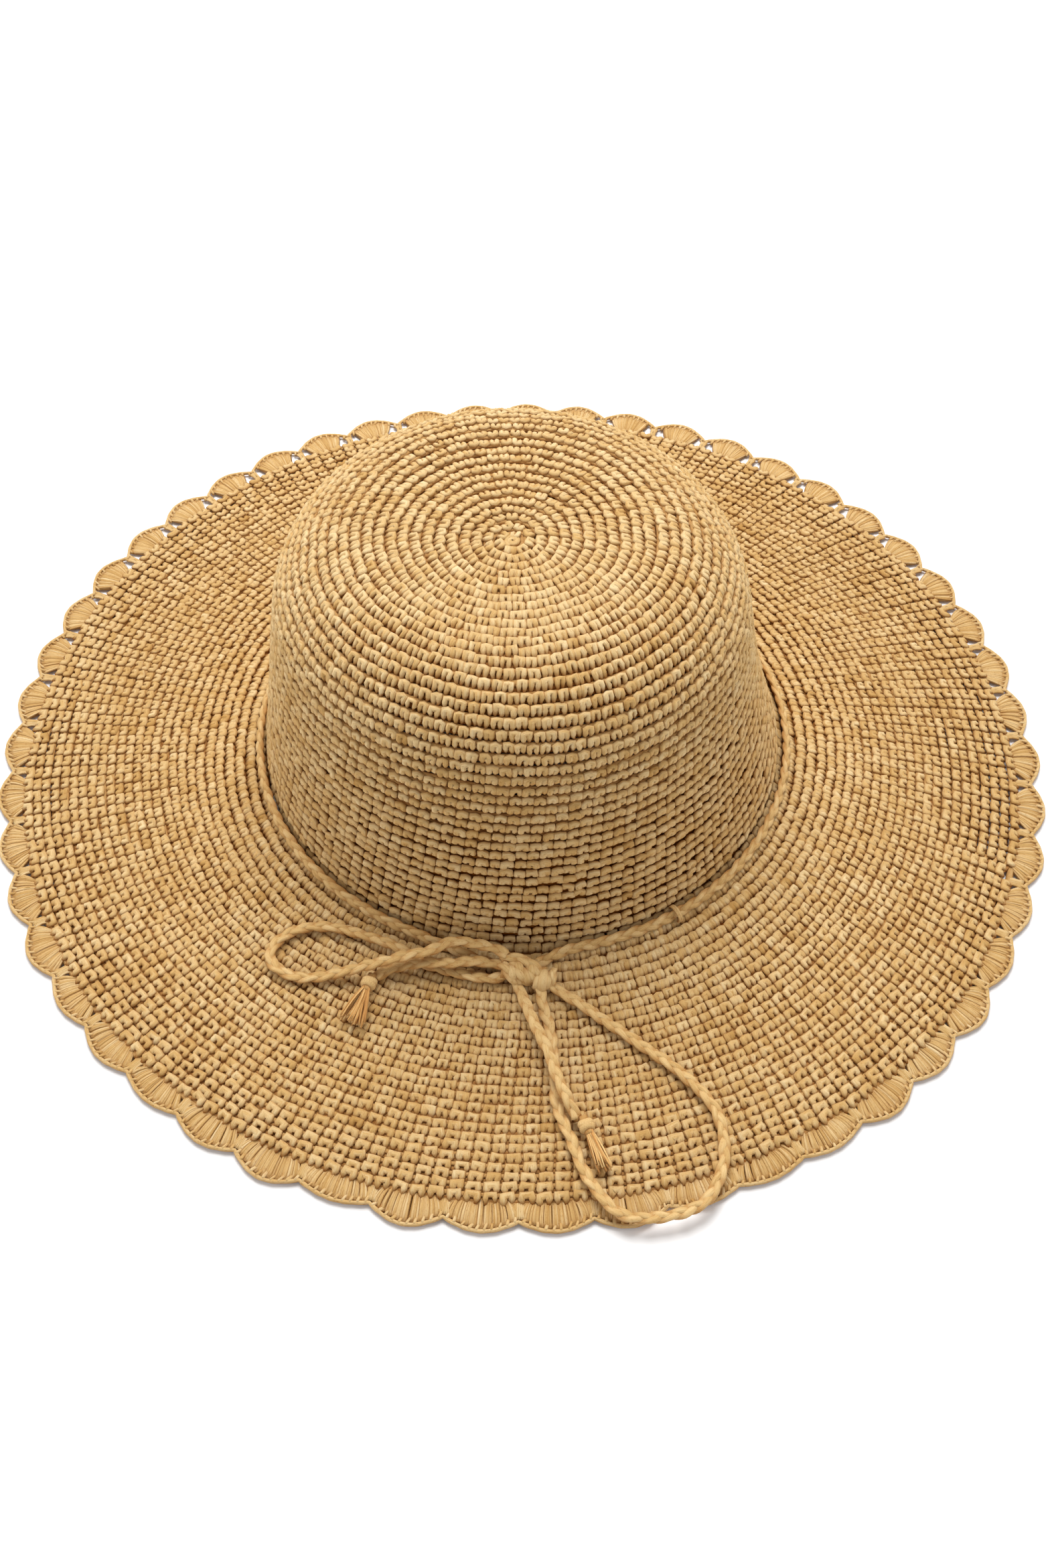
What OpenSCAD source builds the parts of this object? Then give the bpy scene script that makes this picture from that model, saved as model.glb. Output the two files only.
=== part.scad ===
// Crocheted straw sun hat: domed crown, wide scalloped brim, and a plaited cord
// tied round the crown in a bow. It stands on its rim. +Z is up, the bow is on
// the -Y side, and the origin is under the crown's axis on the plane of the rim.

/* [Crown] */
// Outer radius of the crown where it meets the brim
crown_r = 93.5; // [92:0.5:100]
// Height of the crown's tip above the plane that the rim stands on
crown_h = 111; // [100:1:125]
// Lean of the crown's wall towards its axis, in degrees
wall_lean = 10.5; // [6:0.5:14]
// Radius of the rounded shoulder between wall and tip
shoulder_r = 36; // [28:1:42]
// Radius of the nearly flat dome of the tip
dome_r = 700; // [300:50:900]
// Height of the round where the side is joined to the tip
tip_joint_z = 98; // [94:1:100]

/* [Brim] */
// Thickness of the crocheted straw
straw_t = 3; // [2:0.5:3.5]
// Height by which the brim climbs from its rim to the crown
brim_rise = 5; // [2:1:12]
// Outer radius of the plain rounds, where the shells begin
brim_r = 181; // [176:1:182]

/* [Scalloped edge] */
// Number of shells round the rim
shell_n = 51; // [40:1:60]
// Radius of the notch between two shells
notch_r = 187; // [186:1:189]
// Radius of the outermost point of a shell
peak_r = 191.6; // [190:0.2:193]
// Width of the chain round that finishes the edge
chain_w = 2.4; // [2:0.2:3]
// Height of the chain round
chain_h = 2.6; // [2:0.2:3]
// Slit between neighbouring shells
shell_gap = 0.4; // [0.3:0.1:1]

/* [Sweatband] */
// Height of the woven sweatband inside the crown
sweatband_h = 25; // [20:1:30]
// Thickness of the sweatband
sweatband_t = 0.8; // [0.5:0.1:1.2]
// Number of stitches that hold the sweatband
stitch_n = 60; // [40:2:80]

/* [Cord and bow] */
// Diameter of the plaited cord
cord_d = 4.2; // [3.5:0.1:4.4]
// Radius of the band cord's centre line round the crown
band_r = 97.3; // [97:0.1:98]
// Radius of the tied knot's wraps
knot_r = 4.2; // [4:0.1:4.6]
// Radius of the stopper knots on the two tails
end_knot_r = 3; // [2.6:0.1:3.1]
// Length of the frayed tassels
tassel_l = 13; // [10:1:15]
// Inner radius of the thread keepers that hold the band cord
keeper_r = 2.7; // [2.6:0.1:3]
// Diameter of the keepers' thread
keeper_d = 1.2; // [0.8:0.1:1.4]

/* [Hidden] */
$fn = 96;

straw = [0.83, 0.70, 0.48];
plait = [0.88, 0.77, 0.55];
tape = [0.85, 0.79, 0.68];

// Levels and radii that follow from the driving sizes
crease_z = brim_rise + straw_t;
crease_w = 1.5;
crease_r = crown_r + crease_w;
head_r = crown_r - straw_t;
cord_r = cord_d / 2;
lay_gap = 0.4;
band_z = crease_z + lay_gap + cord_r;
keeper_angle = 303;

// Height of the brim's upper face at radius r
function brim_top(r) = straw_t + brim_rise
    * max(0, min(1, (brim_r - r) / (brim_r - crease_r)));

// Centre of the shoulder arc: it touches the leaning wall and the dome inside
wall_dir = [-sin(wall_lean), cos(wall_lean)];
wall_in = [-cos(wall_lean), -sin(wall_lean)];
dome_c = [0, crown_h - dome_r];
arc_start = [crown_r, crease_z] + shoulder_r * wall_in - dome_c;
along = arc_start * wall_dir;
climb = sqrt(along * along - arc_start * arc_start + pow(dome_r - shoulder_r, 2)) - along;
shoulder_c = arc_start + dome_c + climb * wall_dir;
dome_edge = atan2(shoulder_c[0], shoulder_c[1] - dome_c[1]);

// Turn between two points of the shoulder's line, and points on the dome's line
shoulder_step = 5;
dome_steps = 4;

// The crown's line, inset by the depth given: up the wall, round the shoulder
// and in over the dome to the axis
function crown_line(inset) = concat(
    [[crown_r, crease_z] + inset * [-1 / cos(wall_lean), 0]],
    [for (a = [wall_lean : shoulder_step : 90 - dome_edge])
        shoulder_c + (shoulder_r - inset) * [cos(a), sin(a)]],
    [for (i = [dome_steps : -1 : 1]) let (a = i * dome_edge / dome_steps)
        dome_c + (dome_r - inset) * [sin(a), cos(a)]],
    [[0, crown_h - inset]]);

module crown_section() {
    outer = crown_line(0);
    inner = crown_line(straw_t);
    polygon(concat(outer, [for (i = [len(inner) - 1 : -1 : 0]) inner[i]]));
}

module crown_tip() {
    color(straw)
        rotate_extrude()
            intersection() {
                crown_section();
                translate([0, tip_joint_z])
                    square([crown_r, crown_h]);
            }
}

module crown_side() {
    color(straw)
        rotate_extrude()
            intersection() {
                crown_section();
                translate([0, crease_z])
                    square([crown_r, tip_joint_z - crease_z]);
            }
}

module brim() {
    color(straw)
        rotate_extrude()
            polygon([[head_r, brim_rise], [crease_r, brim_rise], [brim_r, 0],
                [brim_r, straw_t], [crease_r, crease_z], [head_r, crease_z]]);
}

// Each scallop is an arc through two notches and the peak between them
half_pitch = 180 / shell_n;
scallop_w = notch_r * sin(half_pitch);
scallop_h = peak_r - notch_r * cos(half_pitch);
scallop_r = (pow(scallop_w, 2) + pow(scallop_h, 2)) / (2 * scallop_h);
scallop_c = peak_r - scallop_r;
first_notch = 2.1;

module round_the_rim() {
    for (i = [0 : shell_n - 1])
        rotate(first_notch + (2 * i + 1) * half_pitch)
            children();
}

module scallop_outline(inset) {
    circle(r = scallop_c);
    round_the_rim()
        translate([scallop_c, 0])
            circle(r = scallop_r - inset);
}

module shell_wedge() {
    w = peak_r * tan(half_pitch);
    polygon([[shell_gap / 2 / tan(half_pitch), 0], [peak_r, w - shell_gap / 2],
        [peak_r, shell_gap / 2 - w]]);
}

module scallop_shells() {
    color(straw)
        round_the_rim()
            difference() {
                linear_extrude(straw_t)
                    intersection() {
                        translate([scallop_c, 0])
                            circle(r = scallop_r - chain_w);
                        shell_wedge();
                    }
                translate([0, 0, -1])
                    cylinder(r = brim_r, h = straw_t + 2);
            }
}

module edge_chain() {
    color(plait)
        translate([0, 0, (straw_t - chain_h) / 2])
            linear_extrude(chain_h)
                difference() {
                    scallop_outline(0);
                    circle(r = brim_r);
                    scallop_outline(chain_w);
                }
}

// The sweatband lies against the leaning wall inside the head opening
band_low = crease_z + 1;
skin = 0.1;
function wall_x(z) = head_r - skin - (z - crease_z) * tan(wall_lean)
    - straw_t * (1 / cos(wall_lean) - 1);

module sweatband() {
    high = band_low + sweatband_h;
    color(tape)
        rotate_extrude()
            polygon([[wall_x(band_low), band_low], [wall_x(high), high],
                [wall_x(high) - sweatband_t, high],
                [wall_x(band_low) - sweatband_t, band_low]]);
}

module sweatband_stitching() {
    stitch_l = 5;
    stitch_r = 0.35;
    z = band_low + 2.5;
    color(plait)
        for (i = [0 : stitch_n - 1])
            rotate(i * 360 / stitch_n)
                translate([wall_x(z) - sweatband_t, 0, z])
                    rotate([90, 0, 0])
                        cylinder(r = stitch_r, h = stitch_l, center = true, $fn = 16);
}

// A keeper is a loop of thread round the band cord, sewn into the crown
module keeper(angle) {
    color(plait)
        rotate(angle)
            translate([band_r, 0, band_z])
                rotate([90, 0, 0])
                    rotate_extrude($fn = 32)
                        translate([keeper_r + keeper_d / 2, 0])
                            circle(d = keeper_d, $fn = 16);
}

module front_keeper() {
    keeper(keeper_angle);
}

module back_keeper() {
    keeper(keeper_angle - 180);
}

module band_cord() {
    color(plait)
        translate([0, 0, band_z])
            rotate_extrude()
                translate([band_r, 0])
                    circle(r = cord_r, $fn = 24);
}

// The bow knot is a rolled core with three wraps. The two hinge lines of the bow
// go through it: one along its core, and one along the cross wrap's axis.
knot_left = -4;
knot_right = 12;
knot_y = -104.5;
knot_z = brim_top(abs(knot_y)) + lay_gap + knot_r;
knot_wraps_at = [4, 12];

module knot_wrap() {
    wrap_r = 1.6;
    rotate_extrude($fn = 32)
        translate([knot_r - wrap_r, 0])
            circle(r = wrap_r, $fn = 16);
}

module bow_knot() {
    core_r = knot_r - 0.6;
    core_l = knot_right - knot_left;
    color(plait)
        translate([knot_left, knot_y, knot_z]) {
            rotate([0, 90, 0]) {
                cylinder(r = core_r, h = core_l, $fn = 32);
                translate([0, 0, core_l])
                    sphere(r = core_r, $fn = 32);
                for (h = knot_wraps_at)
                    translate([0, 0, h])
                        knot_wrap();
            }
            rotate([90, 0, 0]) {
                cylinder(r = core_r, h = core_r, center = true, $fn = 32);
                knot_wrap();
            }
        }
}

// Routes of the loops and tails: x, y and height above a cord lying on the brim
left_loop_route = [[-9, -99, 6], [-15, -98, 7], [-22, -98, 8], [-29, -102, 9],
    [-36, -103, 8], [-42, -104, 6.5], [-49, -105, 5], [-56, -106, 3],
    [-64, -107, 1], [-72, -107, 0], [-78, -105, 0], [-82, -101, 0],
    [-82, -96, 0], [-79, -92, 0], [-74, -89, 0], [-67, -88, 0], [-59, -89, 0],
    [-50, -92, 0], [-42, -95, 0], [-37, -98, 0], [-31, -102, 0],
    [-24, -104, 0], [-17, -106, 0], [-9, -107, 0]];
left_tail_route = [[-9, -103, 3], [-15, -103, 4.5], [-22, -104, 4.7],
    [-29, -104, 4.7], [-36, -103.5, 2.7], [-42, -104, 0.5], [-47, -107, 0]];
right_loop_route = [[13, -111, 0], [19, -115, 0], [26, -120, 0], [33, -125, 0],
    [40, -130, 0], [47, -135, 0], [53, -140, 0], [58, -145, 0], [62, -151, 0],
    [64, -158, 0], [64, -166, 0], [62, -173, 0], [58, -180, 0], [51, -184, 0],
    [43, -186, 0], [35, -186, 0], [29, -183, 0], [24, -177, 0], [20, -170, 0],
    [17, -162, 0], [14, -155, 0], [12, -148, 0], [12, -140, 0], [11, -132, 0],
    [10, -124, 0], [8, -117, 0], [7, -111, 0]];
right_tail_route = [[0, -110, 0], [2, -116, 1.5], [4, -122, 3.5],
    [7, -129, 4.8], [10, -136, 5], [12, -142, 5], [15, -149, 4.5],
    [18.6, -155.4, 1.6]];
left_end_knot_at = [-49, -109.5];
right_end_knot_at = [21.6, -157.6];
left_tassel_turn = 252;
right_tassel_turn = 292;

// A route's points in space, for a cord of radius cord_r
function laid(route) = [for (p = route)
    [p[0], p[1], brim_top(norm([p[0], p[1]])) + lay_gap + cord_r + p[2]]];

function unit(v) = v / norm(v);
function ahead(pts, i) = unit(pts[min(i + 1, len(pts) - 1)] - pts[max(i - 1, 0)]);
function ring_at(pts, i, sides) =
    let (t = ahead(pts, i), side = unit(cross(t, [0, 0, 1])), up = cross(side, t))
    [for (j = [0 : sides - 1])
        pts[i] + cord_r * (cos(360 * j / sides) * side + sin(360 * j / sides) * up)];

module cord_along(route, sides = 8) {
    pts = laid(route);
    last = len(pts) - 1;
    rings = [for (i = [0 : last]) each ring_at(pts, i, sides)];
    walls = [for (i = [0 : last - 1]) for (j = [0 : sides - 1])
        let (a = i * sides + j, b = i * sides + (j + 1) % sides)
        each [[a, a + sides, b], [b, a + sides, b + sides]]];
    start_cap = [for (j = [0 : sides - 1]) j];
    end_cap = [for (j = [sides - 1 : -1 : 0]) last * sides + j];
    polyhedron(points = rings, faces = concat(walls, [start_cap, end_cap]));
}

// A stopper knot at a tail's end, and the tassel of frayed plies beyond it,
// whose end droops to the brim
tassel_droop = 2;
function end_knot_centre(at) = [at[0], at[1],
    brim_top(norm(at)) + lay_gap + end_knot_r];

module end_knot(at) {
    color(plait)
        translate(end_knot_centre(at))
            sphere(r = end_knot_r, $fn = 32);
}

module tassel(at, turn) {
    neck_r = 1.6;
    flare_r = end_knot_r - 0.1;
    color(plait)
        translate(end_knot_centre(at))
            rotate([0, 0, turn])
                rotate([0, 90 + tassel_droop, 0])
                    translate([0, 0, end_knot_r - 0.5])
                        cylinder(r1 = neck_r, r2 = flare_r, h = tassel_l, $fn = 32);
}

module left_loop() {
    color(plait)
        cord_along(left_loop_route);
}

module left_tail() {
    color(plait)
        cord_along(left_tail_route);
}

module left_end_knot() {
    end_knot(left_end_knot_at);
}

module left_tassel() {
    tassel(left_end_knot_at, left_tassel_turn);
}

module right_loop() {
    color(plait)
        cord_along(right_loop_route);
}

module right_tail() {
    color(plait)
        cord_along(right_tail_route);
}

module right_end_knot() {
    end_knot(right_end_knot_at);
}

module right_tassel() {
    tassel(right_end_knot_at, right_tassel_turn);
}

crown_tip();
crown_side();
brim();
scallop_shells();
edge_chain();
sweatband();
sweatband_stitching();
front_keeper();
back_keeper();
band_cord();
bow_knot();
left_loop();
left_tail();
left_end_knot();
left_tassel();
right_loop();
right_tail();
right_end_knot();
right_tassel();
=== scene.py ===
"""Crocheted straw sun hat with a scalloped brim and a plaited cord tied in a bow.

The crochet is one real spiral of stitches, from the tip to the rim, built round
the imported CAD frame. Lengths are in millimetres until a mesh is made, and MM
turns them into metres. +Z is up and the bow is on the -Y side.
"""

import math

import bpy
import numpy as np
from mathutils import Matrix, Vector


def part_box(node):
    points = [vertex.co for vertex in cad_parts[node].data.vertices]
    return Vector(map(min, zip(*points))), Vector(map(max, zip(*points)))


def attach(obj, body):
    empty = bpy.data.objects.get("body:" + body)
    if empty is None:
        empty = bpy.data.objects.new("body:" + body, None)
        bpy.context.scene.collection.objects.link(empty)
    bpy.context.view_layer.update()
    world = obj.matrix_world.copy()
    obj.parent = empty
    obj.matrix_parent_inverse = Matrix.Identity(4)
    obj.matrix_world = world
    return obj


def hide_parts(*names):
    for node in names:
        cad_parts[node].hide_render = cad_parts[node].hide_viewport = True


MM = 0.001
TAU = 2 * math.pi
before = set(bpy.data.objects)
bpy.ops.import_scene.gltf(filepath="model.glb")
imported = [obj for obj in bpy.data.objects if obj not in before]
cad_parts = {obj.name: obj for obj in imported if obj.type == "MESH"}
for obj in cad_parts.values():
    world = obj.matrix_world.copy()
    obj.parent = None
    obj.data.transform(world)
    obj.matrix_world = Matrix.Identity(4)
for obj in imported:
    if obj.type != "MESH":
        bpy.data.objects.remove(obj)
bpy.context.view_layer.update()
rng = np.random.default_rng(51)

# ---------------------------------------------------------------- sizes, in mm


def box_mm(node):
    """Lowest and highest corner of a CAD node, in millimetres."""
    return [np.array(corner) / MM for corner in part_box(node)]


CROWN_H = box_mm("crown_tip")[1][2]
TIP_JOINT_Z = box_mm("crown_side")[1][2]
CREASE_Z = box_mm("crown_side")[0][2]
CROWN_R = box_mm("crown_side")[1][0]
BRIM_R = box_mm("brim")[1][0]
STRAW_T = box_mm("scallop_shells")[1][2]
PEAK_R = box_mm("edge_chain")[1][0]
CORD_D = box_mm("band_cord")[1][2] - box_mm("band_cord")[0][2]
BAND_Z = box_mm("band_cord")[1][2] - CORD_D / 2
# The plait lies this much closer to the crown than its plain CAD cord
BAND_SNUG = 1.0
BAND_R = box_mm("band_cord")[1][0] - CORD_D / 2 - BAND_SNUG
WALL_LEAN = math.radians(10.5)
SHOULDER_R = 36
DOME_R = 700
CREASE_R = CROWN_R + 1.5
LAY_GAP = 0.4
# Room that the bow keeps over the tallest stitches as it turns with the band
STITCH_CLEAR = 0.4
SHELL_N = 51
FIRST_NOTCH = math.radians(2.1)
NOTCH_R = 187

# Stitches: row height and stitches per round, at distances along the surface
# from the tip
ROW_AT = (0, 60, 100, 168, 176, 192, 222, 262)
ROW_HEIGHT = (3.7, 4.0, 3.9, 3.75, 3.9, 3.35, 3.15, 2.95)
TOP_STITCH_W = 3.8
WALL_STITCHES = 131
STITCHES_PER_SHELL = 4
# Added to each round, so that its joints drift past those of the round before
WALL_DRIFT, BRIM_DRIFT = 0.12, 0.06
FEWEST_STITCHES = 5
BRIM_FLARE_W = 7
SPIRAL_START = 1.6
SPIRAL_STEP = 0.02
LAST_ROW_IN = 2.2
CLOSING_ROUNDS = 8


def brim_top(radius):
    """Height of the brim's upper face at a radius."""
    share = np.clip((BRIM_R - radius) / (BRIM_R - CREASE_R), 0, 1)
    return STRAW_T + (CREASE_Z - STRAW_T) * share


# ---------------------------------------------------------------- camera first

CAMERA_AT = Vector((0, -0.3764, 0.4671))
CAMERA_LOOKS_AT = Vector((0.0009, -0.0188, 0))
CAMERA_LENS = 36.94
CAMERA_ROLL = math.radians(1.11)


def make_camera():
    data = bpy.data.cameras.new("camera")
    data.lens = CAMERA_LENS
    data.sensor_width = 36
    data.clip_start = 0.01
    camera = bpy.data.objects.new("camera", data)
    ahead = (CAMERA_LOOKS_AT - CAMERA_AT).normalized()
    right = ahead.cross(Vector((0, 0, 1))).normalized()
    up = right.cross(ahead)
    c, s = math.cos(CAMERA_ROLL), math.sin(CAMERA_ROLL)
    axes = (c * right + s * up, c * up - s * right, -ahead)
    turn = Matrix(axes).transposed().to_4x4()
    camera.matrix_world = Matrix.Translation(CAMERA_AT) @ turn
    bpy.context.scene.collection.objects.link(camera)
    bpy.context.scene.camera = camera


make_camera()

# ------------------------------------------------------------- vectors, curves


def unit(v):
    return v / np.maximum(np.linalg.norm(v, axis=-1, keepdims=True), 1e-9)


def smooth_curve(points, step):
    """Points every `step` mm along a Catmull-Rom curve through the points."""
    p = np.asarray(points, float)
    p = np.vstack([2 * p[0] - p[1], p, 2 * p[-1] - p[-2]])
    t = np.linspace(0, 1, 24, endpoint=False)[:, None]
    parts = []
    for a, b, c, d in zip(p[:-3], p[1:-2], p[2:-1], p[3:]):
        parts.append(
            0.5 * (2 * b + (c - a) * t + (2 * a - 5 * b + 4 * c - d) * t**2
                   + (3 * b - a - 3 * c + d) * t**3)
        )
    dense = np.vstack(parts + [p[-2:-1]])
    return resample(dense, step)


def resample(dense, step):
    length = np.concatenate([[0], np.cumsum(np.linalg.norm(np.diff(dense, axis=0), axis=1))])
    count = max(2, int(round(length[-1] / step)) + 1)
    at = np.linspace(0, length[-1], count)
    return np.stack([np.interp(at, length, dense[:, k]) for k in range(3)], axis=1)


# ------------------------------------------------------------------ mesh maker


# How much painted shade darkens a strand's lower side: in the crochet, and in a cord
UNDERSIDE_SHADE = 0.85
CORD_UNDERSIDE_SHADE = 0.45


class Strands:
    """Collects tubes of straw, and makes one mesh of them.

    Each face corner knows how far it is along and around its own strand, for
    the fibres, and each tube has a tile of its own in the UV map.
    """

    def __init__(self, underside_shade=UNDERSIDE_SHADE):
        self.batches = []
        self.underside_shade = underside_shade

    def add(self, centres, flat, deep, up, sides=6, tone=0.5, depth=1.0, square=1.0,
            underside_shade=None):
        """n tubes of m rings: centres (n, m, 3), half sizes flat and deep (n, m),
        up (n, m, 3) the way the deep side faces."""
        centres = np.asarray(centres, float)
        if centres.ndim == 2:
            centres = centres[None]
        n, m = centres.shape[:2]
        flat = np.broadcast_to(flat, (n, m))
        deep = np.broadcast_to(deep, (n, m))
        up = np.broadcast_to(up, (n, m, 3))
        ahead = unit(np.gradient(centres, axis=1))
        side = unit(np.cross(ahead, up))
        rise = np.cross(side, ahead)
        a = TAU * np.arange(sides) / sides
        c = np.sign(np.cos(a)) * np.abs(np.cos(a)) ** square
        s = np.sign(np.sin(a)) * np.abs(np.sin(a)) ** square
        rings = (
            centres[:, :, None]
            + (flat[..., None] * c)[..., None] * side[:, :, None]
            + (deep[..., None] * s)[..., None] * rise[:, :, None]
        )
        # Painted shade: below 1, the straw's colour is darkened towards its shade colour
        depth = np.broadcast_to(np.asarray(depth, float), (n, m))
        underside_shade = self.underside_shade if underside_shade is None else underside_shade
        # Painted shade: the lower side of each tube is given the most of it, the top none
        depth = depth[..., None] * (1 - underside_shade * (1 - s) / 2)
        tone = np.asarray(tone, float)
        tone = np.broadcast_to(tone[:, None] if tone.ndim == 1 else tone, (n, m))
        self.batches.append((rings, centres, flat, tone, depth))

    def build(self, name):
        verts, loops, starts = [], [], []
        strand, tones, depths, uvs = [], [], [], []
        total = sum(len(b[0]) for b in self.batches)
        across = max(1, math.ceil(math.sqrt(total)))
        base, first_loop, tube = 0, 0, 0
        for rings, centres, flat, tone, depth in self.batches:
            n, m, k = rings.shape[:3]
            verts.append(rings.reshape(-1, 3))
            step = np.linalg.norm(np.diff(centres, axis=1), axis=2)
            along = np.concatenate([np.zeros((n, 1)), np.cumsum(step, axis=1)], axis=1)
            i, j = np.meshgrid(np.arange(m - 1), np.arange(k), indexing="ij")
            ci = np.stack([i, i + 1, i + 1, i], axis=-1)
            cj = np.stack([j, j, j + 1, j + 1], axis=-1)
            start = base + np.arange(n)[:, None, None, None] * m * k
            loops.append((start + ci * k + cj % k).reshape(-1))
            quads = n * (m - 1) * k
            starts.append(first_loop + 4 * np.arange(quads))
            first_loop += 4 * quads
            girth = TAU * flat.mean(axis=1)
            ids = tube + np.arange(n)
            a = along[:, ci] + (ids % 97)[:, None, None, None] * 7.31
            b = cj[None] / k * girth[:, None, None, None]
            c = np.broadcast_to((ids * 1.37)[:, None, None, None], a.shape)
            strand.append(np.stack([a, b, c], axis=-1).reshape(-1, 3))
            tones.append(tone[:, ci].reshape(-1))
            depths.append(depth.reshape(-1))
            tile = np.stack([ids % across, ids // across], axis=-1)
            u = 0.06 + 0.88 * ci / max(m - 1, 1)
            v = 0.06 + 0.88 * cj / k
            inside = np.broadcast_to(np.stack([u, v], axis=-1), a.shape + (2,))
            uvs.append(((tile[:, None, None, None] + inside) / across).reshape(-1, 2))
            # end caps
            for ring, order in ((0, np.arange(k)), (m - 1, np.arange(k)[::-1])):
                cap = base + np.arange(n)[:, None] * m * k + ring * k + order
                loops.append(cap.reshape(-1))
                starts.append(first_loop + k * np.arange(n))
                first_loop += n * k
                la = np.broadcast_to(along[:, ring, None], (n, k))
                lb = np.broadcast_to(order / k, (n, k))
                lc = np.broadcast_to((ids * 1.37)[:, None], (n, k))
                strand.append(np.stack([la, lb, lc], axis=-1).reshape(-1, 3))
                tones.append(np.repeat(tone[:, ring], k))
                edge = 0.03 if ring == 0 else 0.97
                spot = np.stack([
                    edge + 0.02 * np.cos(TAU * order / k),
                    0.5 + 0.02 * np.sin(TAU * order / k)], axis=-1)
                uvs.append(((tile[:, None] + spot) / across).reshape(-1, 2))
            base += n * m * k
            tube += n
        return mesh_object(
            name, np.vstack(verts), np.concatenate(loops), np.concatenate(starts),
            np.vstack(strand), np.concatenate(tones), np.concatenate(depths),
            np.vstack(uvs),
        )


def mesh_object(name, verts, loops, starts, strand, tones, depths, uvs):
    mesh = bpy.data.meshes.new(name)
    mesh.vertices.add(len(verts))
    mesh.vertices.foreach_set("co", (verts * MM).astype(np.float32).ravel())
    mesh.loops.add(len(loops))
    mesh.loops.foreach_set("vertex_index", loops.astype(np.int32))
    mesh.polygons.add(len(starts))
    mesh.polygons.foreach_set("loop_start", starts.astype(np.int32))
    mesh.polygons.foreach_set("use_smooth", np.ones(len(starts), bool))
    mesh.update(calc_edges=True)
    layer = mesh.attributes.new("strand", "FLOAT_VECTOR", "CORNER")
    layer.data.foreach_set("vector", strand.astype(np.float32).ravel())
    layer = mesh.attributes.new("tone", "FLOAT", "CORNER")
    layer.data.foreach_set("value", tones.astype(np.float32))
    layer = mesh.attributes.new("depth", "FLOAT", "POINT")
    layer.data.foreach_set("value", depths.astype(np.float32))
    uv = mesh.uv_layers.new(name="OFBake")
    uv.data.foreach_set("uv", uvs.astype(np.float32).ravel())
    obj = bpy.data.objects.new(name, mesh)
    bpy.context.scene.collection.objects.link(obj)
    return obj


# ------------------------------------------------------------------- materials


def linear(colour):
    """sRGB 0-255 to linear RGBA."""
    c = np.array(colour) / 255
    lin = np.where(c <= 0.04045, c / 12.92, ((c + 0.055) / 1.055) ** 2.4)
    return (*[float(x) for x in lin], 1.0)


class Nodes:
    """Short calls for building a material's node tree."""

    def __init__(self, name):
        self.material = bpy.data.materials.new(name)
        self.material.use_nodes = True
        self.tree = self.material.node_tree
        self.shader = self.tree.nodes["Principled BSDF"]

    def put(self, kind, **inputs):
        node = self.tree.nodes.new(kind)
        for key, value in inputs.items():
            self.feed(node, key.replace("_", " "), value)
        return node

    def feed(self, node, key, value):
        socket = node.inputs[int(key[3:])] if key.startswith("in ") else node.inputs[key]
        if isinstance(value, bpy.types.NodeSocket):
            self.tree.links.new(value, socket)
        else:
            socket.default_value = value

    def math(self, op, a, b=0.0, clamp=False):
        node = self.put("ShaderNodeMath")
        node.operation = op
        node.use_clamp = clamp
        self.feed(node, "in 0", a)
        self.feed(node, "in 1", b)
        return node.outputs[0]

    def scaled(self, vector, scale):
        node = self.put("ShaderNodeVectorMath")
        node.operation = "MULTIPLY"
        self.feed(node, "in 0", vector)
        self.feed(node, "in 1", scale)
        return node.outputs[0]

    def noise(self, vector, scale, detail=2.0, roughness=0.5):
        node = self.put("ShaderNodeTexNoise", Vector=vector, Scale=scale,
                        Detail=detail, Roughness=roughness)
        return node.outputs["Fac"]

    def attribute(self, name, output="Fac"):
        node = self.put("ShaderNodeAttribute")
        node.attribute_name = name
        return node.outputs[output]

    def ramp(self, fac, stops):
        node = self.put("ShaderNodeValToRGB", Fac=fac)
        elements = node.color_ramp.elements
        while len(elements) < len(stops):
            elements.new(0.5)
        for element, (at, colour) in zip(elements, stops):
            element.position = at
            element.color = linear(colour)
        return node.outputs["Color"]

    def multiply(self, fac, a, b):
        """Colour a, multiplied by colour b as far as fac says."""
        node = self.put("ShaderNodeMix")
        node.data_type = "RGBA"
        node.blend_type = "MULTIPLY"
        for socket, value in ((0, fac), (6, a), (7, b)):
            self.feed(node, f"in {socket}", value)
        return node.outputs[2]

    def object_place(self):
        return self.put("ShaderNodeTexCoord").outputs["Object"]

    def bump(self, height, distance, strength):
        node = self.put("ShaderNodeBump", Height=height, Distance=distance,
                        Strength=strength)
        self.feed(self.shader, "Normal", node.outputs["Normal"])


# Share of each cause in a straw's tone
FINE_SHARE, BROAD_SHARE, TONE_SHARE, PATCH_SHARE = 0.34, 0.26, 0.34, 0.10
FLECK = 0.6
FLECK_FROM, FLECK_EDGE = 0.56, 5.0
FIBRE_RELIEF = 0.0003
FIBRE_STRENGTH = 0.6


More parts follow.
